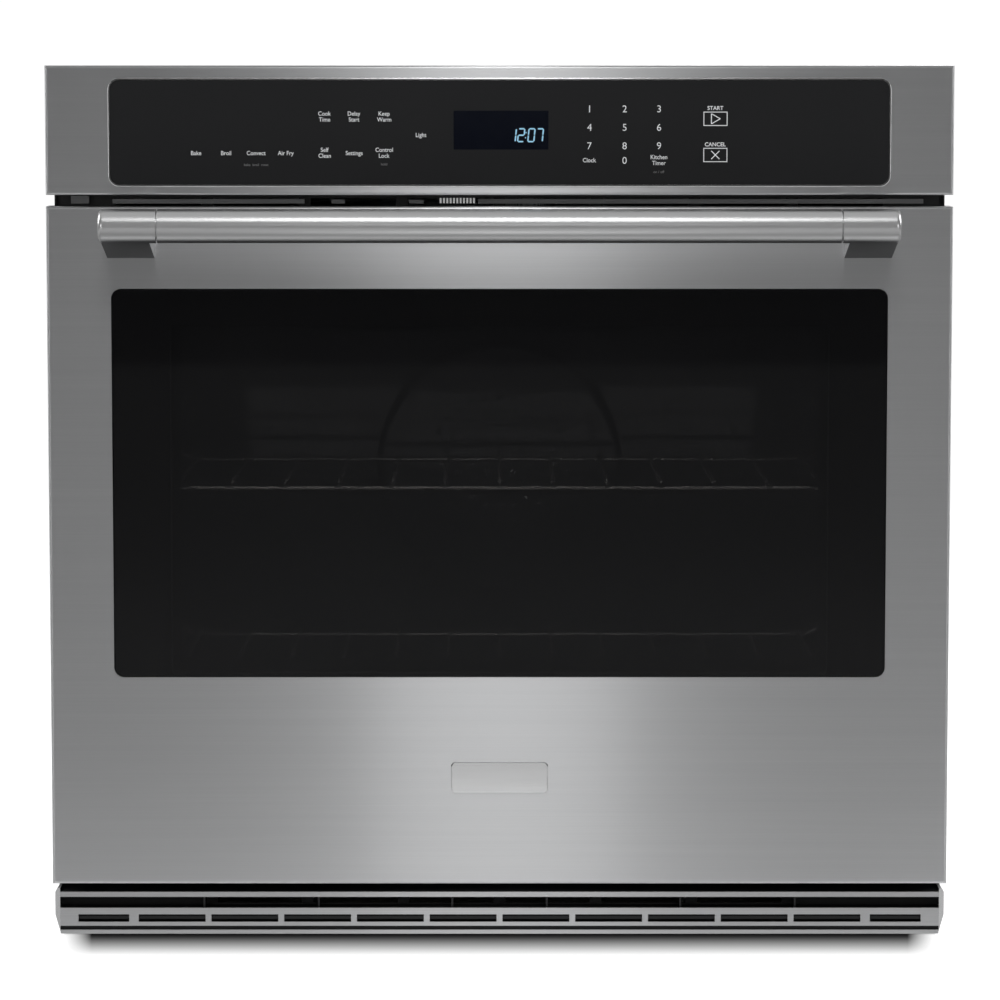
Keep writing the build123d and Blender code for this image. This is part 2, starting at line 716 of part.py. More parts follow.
# ------------------------------------------------------------ door
def make_door_outer_panel():
    with BuildPart() as door_outer_panel:
        block(-face_half, face_half, face_front, door_back - 1, door_bottom, door_top)
        fillet(door_outer_panel.faces().sort_by(Axis.Y)[0].edges(), bend)
        offset(amount=-sheet, openings=door_outer_panel.faces().sort_by(Axis.Y)[-1])
        front_plate(window_half + 0.3, window_bottom - 0.3, window_top + 0.3,
                    face_front - 1, face_front + 3, 8.3, Mode.SUBTRACT)
        block(-374, 374, -28, 0, door_top - 2 * sheet, door_top + 1, Mode.SUBTRACT)
        for side in (-1, 1):
            block(side * hinge_x - 5, side * hinge_x + 5, face_front + 1.3, 0,
                  door_bottom - 1, door_bottom + 2 * sheet, Mode.SUBTRACT)
            for level in (582, 597):
                rod((side * 307, face_front - 1, level), (side * 307, face_front + 3, level), 2.75,
                    Mode.SUBTRACT)
        with Locations((0, -22, door_bottom)):
            with GridLocations(52, 1, 12, 1):
                Box(38, 9, 4 * sheet, mode=Mode.SUBTRACT)
    return door_outer_panel


def make_door_top_trim():
    with BuildPart() as door_top_trim:
        block(-373.8, 373.8, -27.8, door_back, 612.6, 615.8)
        with Locations((0, -17, 614)):
            with GridLocations(52, 1, 13, 1):
                Box(40, 7, 8, mode=Mode.SUBTRACT)
    return door_top_trim


def make_door_glass_outer():
    with BuildPart() as door_glass_outer:
        front_plate(window_half, window_bottom, window_top, face_front + 0.2, face_front + 4.2, 8)
        chamfer(door_glass_outer.faces().sort_by(Axis.Y)[0].edges(), 0.9)
    return door_glass_outer


def make_window_panes():
    """The two inner panes of the window."""
    with BuildPart() as window_panes:
        front_plate(284, 214, 526, -23, -20, 4)
        front_plate(284, 218, 524, -4.6, -1.3, 4)
    return window_panes


def make_glass_pack_frame():
    with BuildPart() as glass_pack_frame:
        front_plate(288, 210, 530, -24.2, -4.8, 6)
        front_plate(284, 214, 526, -23, -4, 4, Mode.SUBTRACT)
        front_plate(clear_half, clear_bottom, clear_top, -25, -4, 4, Mode.SUBTRACT)
        front_plate(284, 214, 526, -19.8, -18.6, 4)
        front_plate(clear_half, clear_bottom, clear_top, -20, -18, 4, Mode.SUBTRACT)
    return glass_pack_frame


def make_door_insulation():
    with BuildPart() as door_insulation:
        front_plate(322, 72, 574, -30, -9.6, 10)
        front_plate(290, 208, 532, -31, -9, 8, Mode.SUBTRACT)
    return door_insulation


def make_door_liner():
    with BuildPart() as door_liner:
        front_plate(face_half - sheet - 0.2, 46.5, 612, door_back - sheet, door_back, 6)
        front_plate(300, 140, 565, door_back - sheet, 0, 16)
        fillet(door_liner.faces().sort_by(Axis.Y)[-1].edges(), 4)
        front_plate(298.8, 141.2, 563.8, door_back - 2 * sheet, -3.5, 15, Mode.SUBTRACT)
        front_plate(295, 145, 560, door_back, -sheet, 12, Mode.SUBTRACT)
        front_plate(270, 232, 510, -3, 1, 10, Mode.SUBTRACT)
        for side in (-1, 1):
            block(side * hinge_x - 5, side * hinge_x + 5, -10, -7, 46, 61, Mode.SUBTRACT)
        block(-46, 10, -10, -7, 584.5, 597.5, Mode.SUBTRACT)
    return door_liner


def make_door_gasket():
    with BuildPart() as door_gasket:
        front_plate(323, 116.5, 584, door_back + 0.3, flange_front, 22)
        front_plate(313.5, 126, 574.5 + 1, door_back, flange_front + 1, 15, Mode.SUBTRACT)
        fillet(door_gasket.faces().sort_by(Axis.Y)[0].edges(), 2)
    return door_gasket


def make_nameplate():
    """Plain blank badge plate."""
    with BuildPart() as nameplate:
        front_plate(41, 121.5, 148.5, face_front - 1.6, face_front, 4)
        chamfer(nameplate.faces().sort_by(Axis.Y)[0].edges(), 1)
    return nameplate


# ------------------------------------------------------------ handle
def make_handle_bar():
    with BuildPart() as handle_bar:
        rod((-handle_bar_half, handle_y, handle_z), (handle_bar_half, handle_y, handle_z),
            handle_radius)
        chamfer(handle_bar.edges().filter_by(GeomType.CIRCLE), 0.6)
        rod((-handle_bar_half - 15, handle_y, handle_z), (handle_bar_half + 15, handle_y, handle_z),
            11)
        rod((-handle_bar_half - 16, handle_y, handle_z), (handle_bar_half + 16, handle_y, handle_z),
            9.5, Mode.SUBTRACT)
    return handle_bar


def make_handle_ends():
    """End castings: a round socket for the bar and a leg that slopes down to the door."""
    start = handle_bar_half + handle_joint
    with BuildPart() as handle_ends:
        rod((start, handle_y, handle_z), (handle_half, handle_y, handle_z), handle_radius)
        fillet(handle_ends.edges().sort_by(Axis.X)[-1], 4)
        with BuildSketch(Plane.YZ.offset(287.5)):
            with BuildLine():
                Polyline((handle_y - 4, handle_z - 13.4), (face_front, 573.2), (face_front, 606),
                         (handle_y + 4, handle_z + 13.4), close=True)
            make_face()
        extrude(amount=39.5)
        rod((start - 1, handle_y, handle_z), (handle_bar_half + 15, handle_y, handle_z), 11,
            Mode.SUBTRACT)
        for level in (582, 597):
            rod((307, face_front - 12, level), (307, face_front + 1, level), 2.5, Mode.SUBTRACT)
        mirror(about=Plane.YZ)
    return handle_ends


def make_handle_screws():
    with BuildPart() as handle_screws:
        for side in (-1, 1):
            for level in (582, 597):
                x = side * 307
                rod((x, face_front - 11, level), (x, face_front + sheet, level), 2.5)
                rod((x, face_front + sheet, level), (x, face_front + sheet + 3, level), 4.6)
    return handle_screws


# ------------------------------------------------------------ racks
def make_rack(level):
    """Wire rack: bent outer rail, two stepped cross bars and the long wires on them."""
    wire_z = level + 0.3
    with BuildPart() as rack:
        wire([(-rack_half, rack_back, level), (-rack_half, rack_front, level),
              (rack_half, rack_front, level), (rack_half, rack_back, level)], rail_radius, 12)
        for y in (rack_front + 60, rack_back - 40):
            wire([(-rack_half, y, level), (-296, y, level), (-289, y, level - 4.2),
                  (289, y, level - 4.2), (296, y, level), (rack_half, y, level)], 2.6, 3)
        for index in range(-6, 7):
            x = index * rack_wire_pitch
            rod((x, rack_front, wire_z), (x, rack_back - 38, wire_z), rack_wire_radius)
    return rack


# ------------------------------------------------------------ fasteners
def make_chassis_screws():
    """Pan-head screws of the liner flange and of the back sheet."""
    with BuildPart() as chassis_screws:
        for side in (-1, 1):
            for x, z in ((329, 112), (329, 350), (329, 595), (150, 112), (110, 595)):
                rod((side * x, flange_front - 2, z), (side * x, flange_front, z), 3.6)
            for z in (40, 360, 690):
                rod((side * 340, back_y, z), (side * 340, back_y + 2, z), 3.6)
    return chassis_screws


# ------------------------------------------------------------ the whole oven
save(make_base_pan(), "base_pan")
save(make_side_panels(), "side_panels")
save(make_back_panel(), "back_panel")
save(make_top_panel(), "top_panel")
save(make_front_frame(), "front_frame")
save(make_chassis_screws(), "chassis_screws")

save(make_oven_liner(), "oven_liner")
save(make_insulation_top(), "insulation_top")
save(make_insulation_bottom(), "insulation_bottom")
save(make_insulation_sides(), "insulation_sides")
save(make_insulation_back(), "insulation_back")
save(make_door_gasket(), "door_gasket")

save(make_bake_element(), "bake_element")
save(make_broil_element(), "broil_element")
save(make_broil_hangers(), "broil_hangers")
save(make_convection_element(), "convection_element")
save(make_fan_cover(), "fan_cover")
save(make_convection_fan(), "convection_fan")
save(make_convection_motor(), "convection_motor")

save(make_air_duct(), "air_duct")
save(make_blower_housing(), "blower_housing")
save(make_blower_wheel(), "blower_wheel")
save(make_blower_motor(), "blower_motor")

save(make_lamp_housing(), "lamp_housing")
save(make_lamp_lens(), "lamp_lens")
save(make_temperature_sensor(), "temperature_sensor")
save(make_door_switch(), "door_switch")
save(make_switch_plunger(), "switch_plunger")

save(make_latch_bracket(), "latch_bracket")
save(make_latch_hook(), "latch_hook")
save(make_latch_cam(), "latch_cam")
save(make_latch_motor(), "latch_motor")

save(make_control_fascia(), "control_fascia")
save(make_control_bezel(), "control_bezel")
save(make_control_glass(), "control_glass")
save(make_display_module(), "display_module")
save(make_control_board(), "control_board")

save(make_upper_vent_strip(), "upper_vent_strip")
save(make_bottom_vent_trim(), "bottom_vent_trim")
save(make_vent_end_caps(), "vent_end_caps")
save(make_junction_box(), "junction_box")
save(make_conduit_connector(), "conduit_connector")

save(make_hinge_receivers(), "hinge_receivers")
save(make_hinge_arms(), "hinge_arms")
save(make_hinge_channels(), "hinge_channels")
save(make_hinge_springs(), "hinge_springs")
save(make_spring_rods(), "spring_rods")

save(make_door_outer_panel(), "door_outer_panel")
save(make_door_top_trim(), "door_top_trim")
save(make_door_glass_outer(), "door_glass_outer")
save(make_window_panes(), "window_panes")
save(make_glass_pack_frame(), "glass_pack_frame")
save(make_door_insulation(), "door_insulation")
save(make_door_liner(), "door_liner")
save(make_nameplate(), "nameplate")
save(make_handle_bar(), "handle_bar")
save(make_handle_ends(), "handle_ends")
save(make_handle_screws(), "handle_screws")

save(make_rack(upper_rack_level), "upper_rack")
save(make_rack(lower_rack_level), "lower_rack")
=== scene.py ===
# %% [markdown]
# # A built-in single wall oven
#
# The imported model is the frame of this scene: every casing, door, rack and hinge comes from it and keeps its
# place. This script gives each of them a finish made of shader nodes, adds the small pieces that are better
# made as meshes, and sets the stage: camera, floor and lights. All lengths are metres. X runs to the right,
# the front of the oven looks along -Y, and Z is up.

# %% Load the frame
import json
import math

import bpy
import bmesh
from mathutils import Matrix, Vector


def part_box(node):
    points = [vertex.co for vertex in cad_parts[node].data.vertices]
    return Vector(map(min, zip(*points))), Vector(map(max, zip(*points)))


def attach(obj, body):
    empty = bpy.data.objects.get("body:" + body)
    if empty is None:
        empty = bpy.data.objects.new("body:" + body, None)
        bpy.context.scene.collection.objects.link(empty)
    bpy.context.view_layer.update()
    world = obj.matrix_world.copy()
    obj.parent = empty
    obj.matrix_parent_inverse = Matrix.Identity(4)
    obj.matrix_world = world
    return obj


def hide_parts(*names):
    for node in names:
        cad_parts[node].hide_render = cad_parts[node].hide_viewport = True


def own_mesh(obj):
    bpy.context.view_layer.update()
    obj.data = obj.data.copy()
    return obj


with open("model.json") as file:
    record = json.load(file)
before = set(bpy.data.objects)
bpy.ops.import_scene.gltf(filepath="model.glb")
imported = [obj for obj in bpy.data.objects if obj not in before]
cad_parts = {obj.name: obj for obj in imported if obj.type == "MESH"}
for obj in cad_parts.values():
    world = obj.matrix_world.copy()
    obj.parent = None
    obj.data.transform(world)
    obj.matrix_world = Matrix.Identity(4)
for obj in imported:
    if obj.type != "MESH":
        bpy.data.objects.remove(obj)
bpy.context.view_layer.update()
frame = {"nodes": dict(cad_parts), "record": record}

# %% [markdown]
# ## Node arithmetic
#
# `Value` wraps one output socket of a shader node. Adding or multiplying two of them makes the Math node
# that does it, so a pattern reads like a formula. `Finish` is one material: it holds the node tree, makes
# nodes, and feeds its Principled shader.

# %% Shader helpers
class Value:
    """One output socket; arithmetic on it adds Math nodes to the same tree."""

    def __init__(self, tree, socket):
        self.tree = tree
        self.socket = socket

    def calculate(self, operation, *terms):
        node = self.tree.nodes.new("ShaderNodeMath")
        node.operation = operation
        for entry, term in zip(node.inputs, terms):
            connect(self.tree, term, entry)
        return Value(self.tree, node.outputs[0])

    def __add__(self, other):
        return self.calculate("ADD", self, other)

    def __radd__(self, other):
        return self.calculate("ADD", other, self)

    def __sub__(self, other):
        return self.calculate("SUBTRACT", self, other)

    def __rsub__(self, other):
        return self.calculate("SUBTRACT", other, self)

    def __mul__(self, other):
        return self.calculate("MULTIPLY", self, other)

    def __rmul__(self, other):
        return self.calculate("MULTIPLY", other, self)

    def __pow__(self, other):
        return self.calculate("POWER", self, other)

    def size(self):
        """The value without its sign."""
        return self.calculate("ABSOLUTE", self)

    def clamp(self, low, high):
        """0 below low, 1 above high, and a straight ramp between them."""
        node = self.tree.nodes.new("ShaderNodeMapRange")
        connect(self.tree, self, node.inputs["Value"])
        node.inputs["From Min"].default_value = low
        node.inputs["From Max"].default_value = high
        return Value(self.tree, node.outputs[0])


def connect(tree, source, entry):
    """Links a Value to an input socket, or sets the socket to a plain number or colour."""
    if isinstance(source, Value):
        tree.links.new(source.socket, entry)
    elif isinstance(source, tuple) and len(source) == 3 and entry.type == "RGBA":
        entry.default_value = (*source, 1.0)
    else:
        entry.default_value = source


class Finish:
    """A material whose Principled shader is fed by the nodes made here."""

    def __init__(self, name, **values):
        self.material = bpy.data.materials.new(name)
        self.material.use_nodes = True
        self.tree = self.material.node_tree
        self.shader = self.tree.nodes["Principled BSDF"]
        for socket, value in values.items():
            connect(self.tree, value, self.shader.inputs[socket.replace("_", " ")])
        self.place = self.node("ShaderNodeTexCoord", {}, {}, "Object")

    def node(self, kind, settings, values, output=0):
        made = self.tree.nodes.new(kind)
        for name, setting in settings.items():
            setattr(made, name, setting)
        for socket, value in values.items():
            connect(self.tree, value, made.inputs[socket])
        return Value(self.tree, made.outputs[output])

    def axis(self, letter):
        """The X, Y or Z coordinate of the point, in metres."""
        return self.node("ShaderNodeSeparateXYZ", {}, {"Vector": self.place}, letter)

    def noise(self, size, stretch=(1, 1, 1), detail=2.0, warp=0.0):
        """Noise with features about size metres across, drawn out along the axes by stretch."""
        scale = tuple(1.0 / (size * factor) for factor in stretch)
        spot = self.node("ShaderNodeMapping", {}, {"Vector": self.place, "Scale": scale})
        return self.node("ShaderNodeTexNoise", {},
                         {"Vector": spot, "Scale": 1.0, "Detail": detail, "Distortion": warp})

    def cells(self, size, feature="F1", output="Distance"):
        """Voronoi cells about size metres across."""
        return self.node("ShaderNodeTexVoronoi", {"feature": feature},
                         {"Vector": self.place, "Scale": 1.0 / size}, output)

    def mix(self, low, high, factor):
        """A colour between low and high."""
        return self.node("ShaderNodeMix", {"data_type": "RGBA"}, {0: factor, 6: low, 7: high}, 2)

    def paint(self, low, high, factor):
        self.feed("Base Color", self.mix(low, high, factor))

    def feed(self, socket, source):
        connect(self.tree, source, self.shader.inputs[socket])

    def bump(self, height, depth, strength=1.0):
        """Raises the surface by up to depth metres where height is 1."""
        self.feed("Normal", self.node("ShaderNodeBump", {},
                                      {"Height": height, "Distance": depth, "Strength": strength}))


finishes = {}

# %% [markdown]
# ## Steel
#
# The face of the oven is sheet steel brushed from side to side. Brushing spreads a highlight across the
# lines, so the shader is anisotropic with its wide direction upright, and a noise drawn out along X gives
# the lines.
# The handle is satin steel; where it faces down, its legs included, its colour is painted dark and a little
# rougher, as painted shade on its underside.

# %% Brushed and plated steels
steel = Finish("brushed_stainless", Metallic=1.0, Anisotropic=1.0, Anisotropic_Rotation=0.25)
lines = steel.noise(0.00055, (300, 1, 1), 3.0)
broad = steel.noise(0.006, (90, 8, 1), 2.0)
streaks = lines * 0.65 + broad * 0.35
steel.paint((0.555, 0.560, 0.572), (0.660, 0.663, 0.668), streaks)
steel.feed("Roughness", 0.31 + streaks * 0.05)
steel.bump(lines, 0.00002, 0.35)
finishes["stainless"] = steel

trim = Finish("brushed_trim_painted_recess_shade", Anisotropic=0.9, Anisotropic_Rotation=0.25)
trim_lines = trim.noise(0.0005, (300, 1, 1), 3.0)
trim_skin = -0.0392
# Painted shade: behind its front face (recess, groove, slot edges) the trim is painted near-black, less
# metallic and rougher, where shade falls.
painted_recess_shade = trim.axis("Y").clamp(trim_skin, trim_skin + 0.0012)
trim_face = trim.mix((0.500, 0.505, 0.515), (0.640, 0.643, 0.648), trim_lines)
trim.paint(trim_face, (0.018, 0.018, 0.019), painted_recess_shade)
trim.feed("Metallic", 1.0 - painted_recess_shade * 0.6)
trim.feed("Roughness", 0.30 + trim_lines * 0.06 + painted_recess_shade * 0.12)
trim.bump(trim_lines, 0.00002, 0.3)

satin = Finish("handle_satin_steel", Metallic=1.0)
satin_lines = satin.noise(0.0005, (260, 1, 1), 3.0)
facing_down = 0.0 - satin.node("ShaderNodeSeparateXYZ", {},
                                {"Vector": satin.node("ShaderNodeTexCoord", {}, {}, "Normal")}, "Z")
# Painted shade: the bar is painted dark where its normal points down, standing in for the shade on its
# underside and legs.
painted_underside_shade = facing_down.clamp(0.02, 0.45) * 0.55 + facing_down.clamp(0.80, 0.96) * 0.45
polished = satin.mix((0.75, 0.753, 0.76), (0.84, 0.842, 0.845), satin_lines)
satin.paint(polished, (0.075, 0.076, 0.078), painted_underside_shade)
satin.feed("Roughness", 0.28 + satin_lines * 0.05 + painted_underside_shade * 0.10)
satin.bump(satin_lines, 0.00001, 0.1)
finishes["handle_steel"] = satin

galvanised = Finish("galvanised_sheet", Metallic=1.0)
spangle = galvanised.cells(0.011, output="Color")
spangle_tone = galvanised.node("ShaderNodeSeparateColor", {}, {"Color": spangle}, 0)
cloud = galvanised.noise(0.12, detail=4.0)
tone = spangle_tone * 0.7 + cloud * 0.3
galvanised.paint((0.40, 0.415, 0.43), (0.60, 0.61, 0.62), tone)
galvanised.feed("Roughness", 0.36 + tone * 0.2)
galvanised.bump(spangle_tone, 0.00006, 0.3)
finishes["galvanised"] = galvanised

bright = Finish("bright_anodised_trim", Metallic=1.0)
bright_lines = bright.noise(0.0004, (200, 1, 1), 2.0)
bright.paint((0.78, 0.785, 0.79), (0.88, 0.88, 0.885), bright_lines)
bright.feed("Roughness", 0.10 + bright_lines * 0.10)
finishes["bright_trim"] = bright

nickel = Finish("nickel_rack_wire", Metallic=1.0)
heat = nickel.noise(0.05, detail=3.0)
nickel.paint((0.46, 0.44, 0.41), (0.62, 0.61, 0.60), heat)
nickel.feed("Roughness", 0.34 + nickel.noise(0.004) * 0.16)
nickel.bump(nickel.noise(0.0012), 0.00004, 0.25)
finishes["rack_wire"] = nickel

zinc = Finish("zinc_plated_steel", Metallic=1.0)
bloom = zinc.noise(0.02, detail=4.0)
zinc.paint((0.47, 0.47, 0.45), (0.66, 0.66, 0.64), bloom)
zinc.feed("Roughness", 0.26 + bloom * 0.2)
zinc.bump(zinc.noise(0.0015), 0.00004, 0.3)
finishes["zinc_steel"] = zinc

laminated = Finish("motor_laminations", Metallic=1.0)
layers = laminated.node("ShaderNodeTexWave", {"bands_direction": "Y"},
                        {"Vector": laminated.place, "Scale": 320.0, "Distortion": 0.3}, 1)
laminated.paint((0.16, 0.165, 0.17), (0.42, 0.43, 0.44), layers)
laminated.feed("Roughness", 0.35 + laminated.noise(0.01) * 0.2)
laminated.bump(layers, 0.0001, 0.4)
finishes["motor_metal"] = laminated

pressed = Finish("pressed_aluminium_fan", Metallic=1.0)
pressed_haze = pressed.noise(0.03, detail=4.0)
pressed.paint((0.62, 0.63, 0.64), (0.76, 0.765, 0.77), pressed_haze)
pressed.feed("Roughness", 0.30 + pressed_haze * 0.18)
pressed.bump(pressed.noise(0.0009), 0.00003, 0.3)
finishes["fan_metal"] = pressed

# %% [markdown]
# ## Coatings, glass and fibre
#
# The oven's inside is porcelain enamel: a dark ground with pale flecks under a glassy coat. The window is
# three panes; the outer one is tinted, and a black print borders it.

# %% Enamel, paint, glass, fibre and plastics
enamel = Finish("speckled_enamel", Coat_Roughness=0.06)
flecks = 1.0 - enamel.cells(0.0030).clamp(0.10, 0.24)
flecks_kept = enamel.noise(0.004).clamp(0.50, 0.60)
enamel.paint((0.018, 0.020, 0.026), (0.34, 0.36, 0.40), flecks * flecks_kept)
enamel.feed("Roughness", 0.28 + enamel.noise(0.02) * 0.15)
enamel.feed("Coat Weight", 0.55 + enamel.noise(0.03) * 0.3)
enamel.bump(enamel.noise(0.006), 0.0001, 0.25)
finishes["enamel"] = enamel

paint = Finish("baked_black_paint")
peel = paint.noise(0.0018)
paint.paint((0.010, 0.010, 0.011), (0.024, 0.024, 0.025), paint.noise(0.04, detail=4.0))
paint.feed("Roughness", 0.42 + peel * 0.16)
paint.bump(peel, 0.00006, 0.4)
finishes["frame_paint"] = paint

grey = Finish("grey_satin_strip", Metallic=0.5)
grey_lines = grey.noise(0.0005, (160, 1, 1))
grey.paint((0.24, 0.242, 0.246), (0.33, 0.332, 0.336), grey_lines)
grey.feed("Roughness", 0.40 + grey_lines * 0.15)

touch = Finish("touch_glass")
touch.paint((0.0310, 0.0314, 0.0328), (0.0350, 0.0355, 0.0370), touch.noise(0.09, detail=1.0))
touch.feed("Roughness", 0.045 + touch.noise(0.03) * 0.03)
finishes["touch_glass"] = touch

tinted = Finish("tinted_window_glass", IOR=1.33)
tinted.paint((0.0088, 0.0088, 0.0096), (0.0116, 0.0116, 0.0124), tinted.noise(0.1, detail=1.0))
tinted.feed("Roughness", 0.02 + tinted.noise(0.05) * 0.02)
tinted.feed("Alpha", 0.70 + tinted.noise(0.3) * 0.04)
finishes["window_glass"] = tinted

clear = Finish("clear_oven_glass", IOR=1.5)
clear.paint((0.03, 0.035, 0.033), (0.05, 0.055, 0.052), clear.noise(0.1, detail=1.0))
clear.feed("Roughness", 0.02 + clear.noise(0.05) * 0.02)
clear.feed("Alpha", 0.16 + clear.noise(0.2) * 0.04)
finishes["pane_glass"] = clear

lamp_glass = Finish("lamp_cover_glass", IOR=1.5)
ripple = lamp_glass.noise(0.004)
lamp_glass.paint((0.55, 0.57, 0.56), (0.75, 0.77, 0.76), ripple)
lamp_glass.feed("Roughness", 0.06 + ripple * 0.06)
lamp_glass.feed("Alpha", 0.30 + ripple * 0.1)
lamp_glass.bump(ripple, 0.0003, 0.5)
finishes["lamp_glass"] = lamp_glass

wool = Finish("glass_wool_blanket")
strands = wool.noise(0.0016, (9, 9, 1), 5.0, 1.2)
wool.paint((0.46, 0.40, 0.22), (0.86, 0.82, 0.66), strands)
wool.feed("Roughness", 0.85 + strands * 0.15)
wool.bump(strands, 0.0015, 0.8)
finishes["glass_fibre"] = wool

sleeve = Finish("braided_glass_sleeve")
fuzz = sleeve.noise(0.0009, detail=4.0)
sleeve.paint((0.17, 0.165, 0.155), (0.40, 0.39, 0.37), fuzz)
sleeve.feed("Roughness", 0.75 + fuzz * 0.2)
sleeve.bump(fuzz, 0.0004, 0.6)
finishes["seal"] = sleeve

sheath = Finish("oxidised_heater_sheath", Metallic=0.75)
scale_tone = sheath.noise(0.012, detail=5.0)
sheath.paint((0.045, 0.043, 0.045), (0.19, 0.175, 0.165), scale_tone)
sheath.feed("Roughness", 0.45 + scale_tone * 0.25)
sheath.bump(sheath.noise(0.0015), 0.0001, 0.4)
finishes["element"] = sheath

circuit = Finish("circuit_board", Coat_Weight=0.4)
tracks = circuit.cells(0.012, "DISTANCE_TO_EDGE")
copper = 1.0 - tracks.clamp(0.05, 0.09)
circuit.paint((0.010, 0.075, 0.030), (0.035, 0.16, 0.06), copper)
circuit.feed("Roughness", 0.32 + circuit.noise(0.01) * 0.15)
circuit.bump(copper, 0.0001, 0.5)
finishes["board"] = circuit

black = Finish("moulded_black_plastic")
grain = black.noise(0.0007, detail=3.0)
black.paint((0.010, 0.010, 0.011), (0.020, 0.020, 0.021), grain)
black.feed("Roughness", 0.46 + grain * 0.18)
black.bump(grain, 0.00005, 0.5)
finishes["black_plastic"] = black

white = Finish("moulded_white_plastic")
mould = white.noise(0.0008, detail=3.0)
white.paint((0.66, 0.66, 0.63), (0.76, 0.76, 0.735), mould)
white.feed("Roughness", 0.40 + mould * 0.15)
white.bump(mould, 0.00005, 0.4)
finishes["white_plastic"] = white
print("finishes", len(finishes))

# %% Put the finishes on the CAD nodes
own_finish = {"bottom_vent_trim": trim, "upper_vent_strip": grey}
worn = {}
for name, node in frame["nodes"].items():
    for place in node.material_slots:
        key = place.material.name.split(".")[0]
        place.material = own_finish.get(name, finishes[key]).material
        worn[key] = worn.get(key, 0) + 1
print("nodes per finish", worn)

# %% [markdown]
# ## Mesh pieces
#
# These are the pieces that are made here: the printed legends and the clock digits on the touch panel, the
# black border of the window, the pale louvre in the slit over the door, the screws, the braided door seal,
# the lamp's bulb and the door's coil springs. Each rides on a body of the frame.

# %% Mesh helpers
def add_piece(name, verts, faces, finish, body, slot, smooth=False):
    """A mesh object in the row frame that rides on a body."""
    mesh = bpy.data.meshes.new(name)
    mesh.from_pydata([tuple(vert) for vert in verts], [], faces)
    mesh.update()
    tidy = bmesh.new()
    tidy.from_mesh(mesh)
    bmesh.ops.recalc_face_normals(tidy, faces=tidy.faces)
    tidy.to_mesh(mesh)
    tidy.free()
    if smooth:
        mesh.shade_smooth()
    mesh.materials.append(finish.material)
    piece = bpy.data.objects.new(name, mesh)
    bpy.context.scene.collection.objects.link(piece)
    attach(piece, body)
    return piece


def join(parts):
    """One list of vertices and faces from several."""
    verts, faces = [], []
    for part_verts, part_faces in parts:
        start = len(verts)
        verts += part_verts
        faces += [[start + index for index in face] for face in part_faces]
    return verts, faces


def box_shape(low, high):
    """The eight corners and six faces of a box."""
    verts = [Vector((x, y, z))
             for x in (low[0], high[0]) for y in (low[1], high[1]) for z in (low[2], high[2])]
    faces = [[0, 1, 3, 2], [4, 6, 7, 5], [0, 4, 5, 1], [2, 3, 7, 6], [0, 2, 6, 4], [1, 5, 7, 3]]
    return verts, faces


def prism(outline, y_front, y_back):
    """A flat shape parallel to the oven's face, from an outline of (x, z) points."""
    count = len(outline)
    verts = [Vector((x, y_front, z)) for x, z in outline] + [Vector((x, y_back, z)) for x, z in outline]
    faces = [list(range(count)), list(range(2 * count - 1, count - 1, -1))]
    faces += [[i, i + count, (i + 1) % count + count, (i + 1) % count] for i in range(count)]
    return verts, faces


def rounded(half_x, z0, z1, radius, steps=8):
    """(x, z) points round a rectangle with rounded corners, centred on x = 0."""
    corners = ((half_x - radius, z1 - radius, 0), (radius - half_x, z1 - radius, 90),
               (radius - half_x, z0 + radius, 180), (half_x - radius, z0 + radius, 270))
    points = []
    for x, z, start in corners:
        for step in range(steps + 1):
            angle = math.radians(start + 90 * step / steps)
            points.append((x + radius * math.cos(angle), z + radius * math.sin(angle)))
    return points


def tube(points, radius_at, sides, closed):
    """A round tube along points; radius_at(step, angle) gives its radius."""
    count = len(points)
    verts = []
    side = Vector((0, 1, 0))
    for step, point in enumerate(points):
        ahead = points[(step + 1) % count] if closed or step + 1 < count else point
        behind = points[step - 1] if closed or step else point
        along = (ahead - behind).normalized()
        side = (side - along * side.dot(along)).normalized()
        over = along.cross(side)
        for turn in range(sides):
            angle = 2 * math.pi * turn / sides
            radius = radius_at(step, angle)
            verts.append(point + side * radius * math.cos(angle) + over * radius * math.sin(angle))
    faces = []
    for step in range(count if closed else count - 1):
        after = (step + 1) % count
        for turn in range(sides):
            turned = (turn + 1) % sides
            faces.append([step * sides + turn, step * sides + turned, after * sides + turned,
                          after * sides + turn])
    if not closed:
        faces.append(list(range(sides))[::-1])
        faces.append([(count - 1) * sides + turn for turn in range(sides)])
    return verts, faces


def lathe(profile, origin, axis, sides=32):
    """A shape turned about an axis through origin; profile is (distance along, radius) pairs."""
    axis = Vector(axis)
    side = axis.orthogonal().normalized()
    over = axis.cross(side)
    verts = []
    for along, radius in profile:
        for turn in range(sides):
            angle = 2 * math.pi * turn / sides
            spoke = side * math.cos(angle) + over * math.sin(angle)
            verts.append(Vector(origin) + axis * along + spoke * radius)
    faces = [list(range(sides))[::-1], [(len(profile) - 1) * sides + turn for turn in range(sides)]]
    for ring in range(len(profile) - 1):
        for turn in range(sides):
            turned = (turn + 1) % sides
            faces.append([ring * sides + turn, ring * sides + turned, (ring + 1) * sides + turned,
                          (ring + 1) * sides + turn])
    return verts, faces

